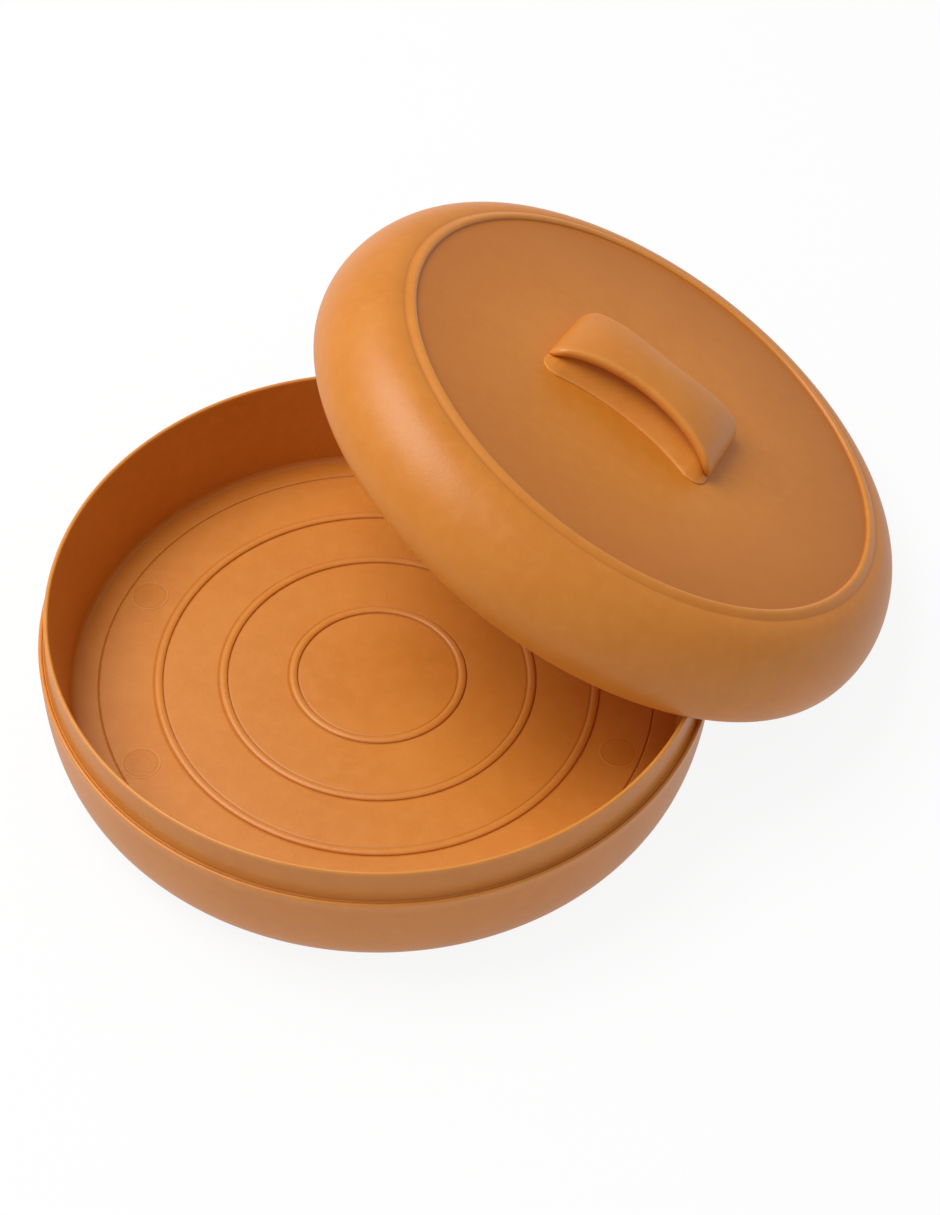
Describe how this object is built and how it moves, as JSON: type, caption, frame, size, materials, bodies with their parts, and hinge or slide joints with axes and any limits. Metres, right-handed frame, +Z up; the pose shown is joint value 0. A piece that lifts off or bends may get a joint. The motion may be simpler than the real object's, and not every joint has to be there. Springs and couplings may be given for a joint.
{
  "type": "tortilla warmer",
  "caption": "Round double-walled food warmer: a shallow bowl with a ringed floor and a domed lid with a bridge handle, the lid off and leaning over the rim.",
  "frame": {"origin": "centre of the bowl's flat base, on the table", "axes": "+Z up along the bowl's axis; +Y away from the viewer of the picture, +X to the viewer's right, towards the leaning lid"},
  "size_m": [0.3568, 0.3471, 0.1519],
  "materials": {
    "bowl_outside": "fine-grained matt terracotta plastic",
    "bowl_inside": "fine-grained matt terracotta plastic",
    "lid_outside": "fine-grained matt terracotta plastic",
    "lid_inside": "fine-grained matt terracotta plastic",
    "handle_plastic": "fine-grained matt terracotta plastic"
  },
  "bodies": {
    "bowl": {"bowl_shell": "bowl_outside", "bowl_liner": "bowl_inside"},
    "lid": {"lid_shell": "lid_outside", "lid_liner": "lid_inside", "lid_handle": "handle_plastic"}
  },
  "joints": [
    {"name": "lid_lift", "type": "slide", "parent": "bowl", "child": "lid", "axis": [0, 0, 1], "range_m": [0, 0.12]}
  ]
}
